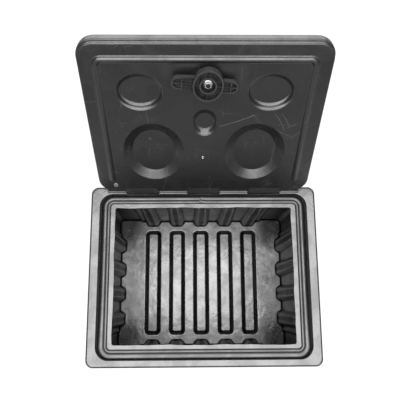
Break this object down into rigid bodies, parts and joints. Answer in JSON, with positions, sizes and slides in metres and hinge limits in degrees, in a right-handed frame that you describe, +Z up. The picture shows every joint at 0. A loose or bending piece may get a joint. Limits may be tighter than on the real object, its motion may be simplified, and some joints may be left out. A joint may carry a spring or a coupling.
{
  "type": "plastic tool box",
  "caption": "Blow-moulded black tool box lying on its back, with ribbed walls, a rubber-sealed rim and a double-walled lid on a pin, held shut by a turning latch bar.",
  "frame": {"origin": "centre of the underside, on the flat bed of the middle foot", "axes": "+Z up out of the box's mouth, +Y to the hinge, +X to the right when seen from the front"},
  "size_m": [0.55, 0.6619, 0.7877],
  "materials": {
    "shell": "blow-moulded black polyethylene with a soft sheen",
    "seal_rubber": "black sealing rubber",
    "moulded_black": "injection-moulded black plastic",
    "plated_steel": "zinc-plated steel",
    "chrome": "polished chrome"
  },
  "bodies": {
    "base": {"box_body": "shell", "rim_seal": "seal_rubber", "hinge_pin": "plated_steel", "pin_plug": "moulded_black"},
    "lid": {"lid_shell": "shell", "lid_rivet": "plated_steel", "shaft_bush": "moulded_black", "lock_gasket": "seal_rubber", "lock_base": "moulded_black"},
    "latch": {"lock_handle": "moulded_black", "lock_spindle": "plated_steel", "latch_bar": "moulded_black", "latch_washer": "plated_steel", "latch_nut": "plated_steel"},
    "key_plug": {"key_barrel": "chrome"}
  },
  "joints": [
    {"name": "lid_hinge", "type": "hinge", "parent": "base", "child": "lid", "pos_m": [0, 0.202, 0.451], "axis": [1, 0, 0], "range_deg": [0, 122.4]},
    {"name": "latch_turn", "type": "hinge", "parent": "lid", "child": "latch", "pos_m": [0.0045, 0.37362, 0.72144], "axis": [0, 0.8443, -0.5358], "range_deg": [-5.5, 84.5]},
    {"name": "key_turn", "type": "hinge", "parent": "latch", "child": "key_plug", "pos_m": [0.0045, 0.37362, 0.72144], "axis": [0, 0.8443, -0.5358], "range_deg": [0, 90]}
  ]
}
